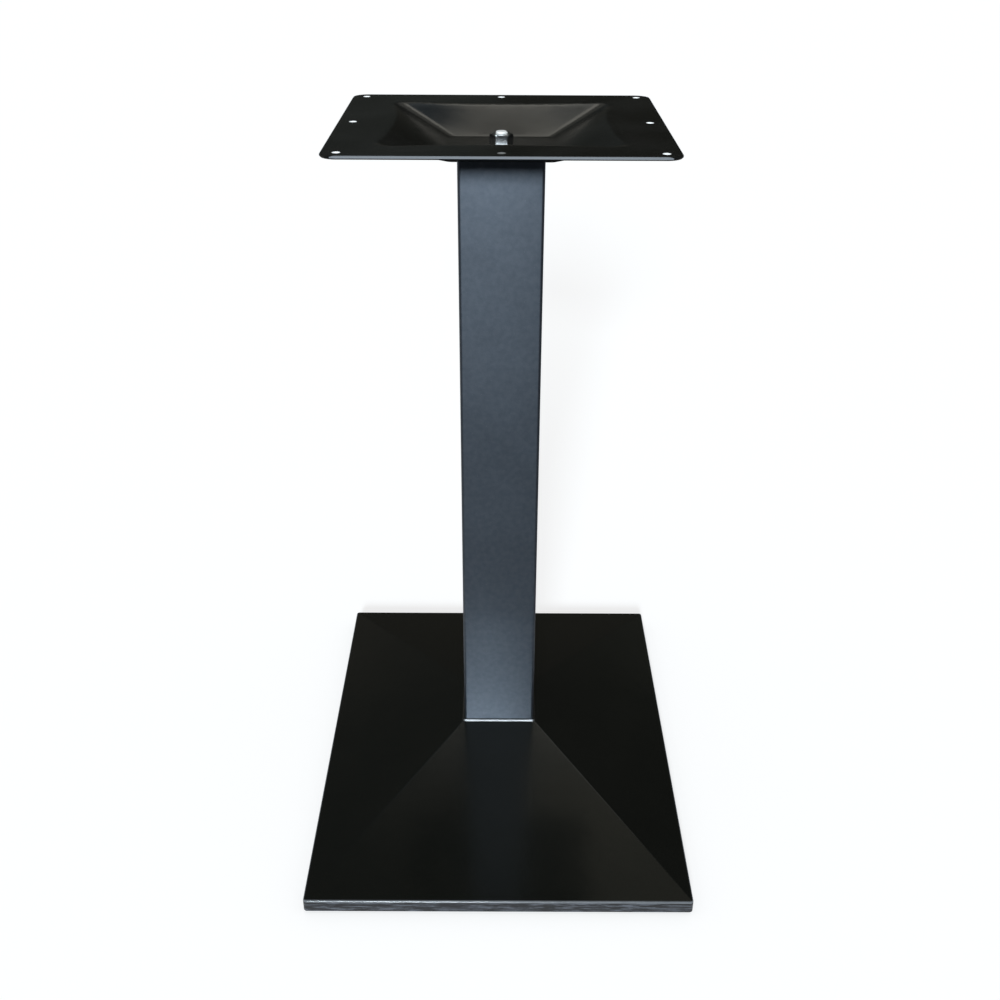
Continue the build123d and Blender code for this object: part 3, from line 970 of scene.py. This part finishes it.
def add_thread(bm, centre, low, high, crest, root, pitch):
    """A closed length of thread on an upright axis, between two heights."""
    section = [
        (root, 0.0),
        (root, pitch / 8),
        (crest, 7 * pitch / 16),
        (crest, 9 * pitch / 16),
        (root, 7 * pitch / 8),
        (root, pitch),
    ]
    start = low - pitch
    turns = math.ceil((high - low) / pitch) + 2
    helix = bmesh.new()
    points = [helix.verts.new((centre[0] + out, centre[1], start + rise)) for out, rise in section]
    lines = [helix.edges.new(pair) for pair in zip(points, points[1:])]
    bmesh.ops.spin(
        helix,
        geom=points + lines,
        cent=(*centre, 0.0),
        axis=UPRIGHT,
        dvec=(0.0, 0.0, pitch / STEPS),
        angle=2 * math.pi * turns,
        steps=STEPS * turns,
    )
    bmesh.ops.remove_doubles(helix, verts=helix.verts, dist=MERGE_TURN)
    for level, direction in ((low, -1.0), (high, 1.0)):
        bmesh.ops.bisect_plane(
            helix,
            geom=helix.verts[:] + helix.edges[:] + helix.faces[:],
            plane_co=(0.0, 0.0, level),
            plane_no=(0.0, 0.0, direction),
            clear_outer=True,
        )
    rim = [edge for edge in helix.edges if edge.is_boundary]
    bmesh.ops.holes_fill(helix, edges=rim, sides=0)
    bmesh.ops.recalc_face_normals(helix, faces=helix.faces)
    join_into(bm, helix)


def add_shank(bm, centre, low, high, radius):
    """A plain round length between two heights."""
    bmesh.ops.create_cone(
        bm,
        cap_ends=True,
        segments=SHANK_SIDES,
        radius1=radius,
        radius2=radius,
        depth=high - low,
        matrix=Matrix.Translation((*centre, (low + high) / 2)),
    )


def turn_tip(bm, centre, level, direction, radius, chamfer):
    """Pulls a tip in to a chamfer of 45 degrees that starts below its end."""
    for vertex in bm.verts:
        outside = (vertex.co.z - level) * direction + chamfer
        if outside > 0:
            offset = Vector((vertex.co.x - centre[0], vertex.co.y - centre[1]))
            most = radius - outside
            if offset.length > most:
                offset *= most / offset.length
                vertex.co.x = centre[0] + offset.x
                vertex.co.y = centre[1] + offset.y


print("a turn of thread has", STEPS, "steps")

# %% [markdown]
# ## Threaded rod
# The rod runs from the nut under the casting to the nut in the dish, and is threaded at its two
# ends only. The length between them is plain and thinner than the crests, because a rolled thread
# is pressed up out of a thinner bar. A helix all the way would add many faces that nobody sees.

# %% Threaded rod
ROD_RADIUS = 6.0 * MM
ROD_ROOT = 4.93 * MM
ROD_PITCH = 1.75 * MM
ROD_SHANK = 5.4 * MM
ROD_THREAD = 32.0 * MM
ROD_TIP = 1.6 * MM
AXIS = (0.0, 0.0)

low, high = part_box("tie_rod")
bm = bmesh.new()
add_thread(bm, AXIS, low.z, low.z + ROD_THREAD, ROD_RADIUS, ROD_ROOT, ROD_PITCH)
add_thread(bm, AXIS, high.z - ROD_THREAD, high.z, ROD_RADIUS, ROD_ROOT, ROD_PITCH)
turn_tip(bm, AXIS, low.z, -1.0, ROD_RADIUS, ROD_TIP)
turn_tip(bm, AXIS, high.z, 1.0, ROD_RADIUS, ROD_TIP)
add_shank(bm, AXIS, low.z + ROD_THREAD, high.z - ROD_THREAD, ROD_SHANK)
shade_by_angle(bm, degrees=25)
rod = link_mesh("threaded_rod", bm)
dress(rod, "tie_rod", "pedestal", zinc_steel)
print("rod faces:", len(rod.data.polygons))

# %% [markdown]
# ## Levelling studs
# Each foot screws into the casting with a short stud, whose flat head is moulded into the pad. It
# is made as the rod is, with one chamfered tip and a plain head. The four studs ride on the
# bodies of their feet, so each can be screwed in and out by itself.

# %% Levelling studs
STUD_RADIUS = 4.0 * MM
STUD_ROOT = 3.23 * MM
STUD_PITCH = 1.25 * MM
STUD_HEAD = 6.5 * MM
STUD_HEAD_HEIGHT = 3.0 * MM
STUD_TIP = 1.0 * MM
CORNERS = ("front_left", "front_right", "back_left", "back_right")

for corner in CORNERS:
    low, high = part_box("foot_stud_" + corner)
    centre = ((low.x + high.x) / 2, (low.y + high.y) / 2)
    neck = low.z + STUD_HEAD_HEIGHT
    bm = bmesh.new()
    add_thread(bm, centre, neck, high.z, STUD_RADIUS, STUD_ROOT, STUD_PITCH)
    turn_tip(bm, centre, high.z, 1.0, STUD_RADIUS, STUD_TIP)
    add_shank(bm, centre, low.z, neck, STUD_HEAD)
    shade_by_angle(bm, degrees=25)
    stud = link_mesh("levelling_stud_" + corner, bm)
    dress(stud, "foot_stud_" + corner, "foot_" + corner, zinc_steel)
print("studs:", len(CORNERS), "with", len(stud.data.polygons), "faces each")

# %% [markdown]
# ## Washers
# A washer is round, so it is a half section spun once round its axis and merged where the turn
# closes. A stamped washer is rounded where the punch enters and nearly sharp where it leaves, so
# the upper corners of the section are larger arcs than the lower ones.

# %% Washers
WASHER_SIDES = 96
WASHER_BORE = 6.5 * MM
STAMPED = 0.6 * MM
SHEARED = 0.2 * MM


def turned(name, centre, section, sides):
    """A closed round piece from its half section, a list of radius and height."""
    bm = bmesh.new()
    points = [bm.verts.new((centre[0] + out, centre[1], height)) for out, height in section]
    lines = [bm.edges.new(pair) for pair in zip(points, points[1:] + points[:1])]
    bmesh.ops.spin(
        bm,
        geom=points + lines,
        cent=(*centre, 0.0),
        axis=UPRIGHT,
        angle=2 * math.pi,
        steps=sides,
        use_merge=True,
    )
    bmesh.ops.remove_doubles(bm, verts=bm.verts, dist=MERGE_TURN)
    bmesh.ops.recalc_face_normals(bm, faces=bm.faces)
    shade_by_angle(bm, degrees=40)
    return link_mesh(name, bm)


def arc(centre_out, centre_height, radius, start, end, count):
    """Points of a rounded corner of a section, between two angles in degrees."""
    angles = [math.radians(start + (end - start) * step / count) for step in range(count + 1)]
    return [
        (centre_out + radius * math.cos(angle), centre_height + radius * math.sin(angle))
        for angle in angles
    ]


for name, node, slot, material in (
    ("dish_washer", "top_washer", "washer_black", washer_black),
    ("hub_washer", "bottom_washer", "zinc_steel", zinc_steel),
):
    low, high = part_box(node)
    radius = (high.x - low.x) / 2
    inner = STAMPED / 2
    section = [(WASHER_BORE, low.z + SHEARED), (WASHER_BORE + SHEARED, low.z)]
    section += arc(radius - SHEARED, low.z + SHEARED, SHEARED, -90, 0, count=3)
    section += arc(radius - STAMPED, high.z - STAMPED, STAMPED, 0, 90, count=6)
    section += arc(WASHER_BORE + inner, high.z - inner, inner, 90, 180, count=4)
    washer = turned(name, AXIS, section, WASHER_SIDES)
    dress(washer, node, "pedestal", material)
    print(name, "has", len(washer.data.polygons), "faces")

# %% [markdown]
# ## Foot pads
# A pad is moulded round the head of its stud, and its section is spun in the same way. It has a
# soft lower edge, a shallow groove for gripping, a cone up to the stud and a hollow underneath,
# so that it stands on a ring. The ring rocks less than a full disc would on an uneven floor.

# %% Foot pads
PAD_SIDES = 72
PAD_EDGE = 1.5 * MM
PAD_FLANK = 5.0 * MM
PAD_TOP = 10.5 * MM
HOLLOW_DEPTH, HOLLOW_INNER, HOLLOW_OUTER = 0.6 * MM, 8.5 * MM, 9.3 * MM
GROOVE_LOW, GROOVE_HIGH, GROOVE_DEPTH, GROOVE_SLOPE = 2.4 * MM, 3.6 * MM, 0.5 * MM, 0.3 * MM
SHOULDER_BELOW, SHOULDER_IN, SHOULDER_ABOVE = 0.4 * MM, 0.35 * MM, 0.05 * MM
COLLAR_OUT, COLLAR_BELOW, COLLAR_IN = 0.4 * MM, 0.27 * MM, 0.3 * MM

for corner in CORNERS:
    low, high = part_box("foot_pad_" + corner)
    centre = ((low.x + high.x) / 2, (low.y + high.y) / 2)
    radius = (high.x - low.x) / 2
    grooved = radius - GROOVE_DEPTH
    section = [
        (0.0, low.z + HOLLOW_DEPTH),
        (HOLLOW_INNER, low.z + HOLLOW_DEPTH),
        (HOLLOW_OUTER, low.z),
        *arc(radius - PAD_EDGE, low.z + PAD_EDGE, PAD_EDGE, -90, 0, count=6),
        (radius, low.z + GROOVE_LOW),
        (grooved, low.z + GROOVE_LOW + GROOVE_SLOPE),
        (grooved, low.z + GROOVE_HIGH - GROOVE_SLOPE),
        (radius, low.z + GROOVE_HIGH),
        (radius, low.z + PAD_FLANK - SHOULDER_BELOW),
        (radius - SHOULDER_IN, low.z + PAD_FLANK + SHOULDER_ABOVE),
        (PAD_TOP + COLLAR_OUT, high.z - COLLAR_BELOW),
        (PAD_TOP - COLLAR_IN, high.z),
        (STUD_RADIUS, high.z),
        (0.0, high.z),
    ]
    pad = turned("levelling_pad_" + corner, centre, section, PAD_SIDES)
    dress(pad, "foot_pad_" + corner, "foot_" + corner, foot_nylon)
print("pads:", len(CORNERS), "with", len(pad.data.polygons), "faces each")

# %% [markdown]
# Dressing the solids must not make the object larger. The box around everything that shows now
# is measured, and the last line prints by how much it reaches beyond the box from straight after
# loading.

# %% Finish
dressed_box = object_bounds()
growth = [round((after - before) / MM, 3) for before, after in zip(cad_box[1], dressed_box[1])]
print("size grows by mm:", growth)
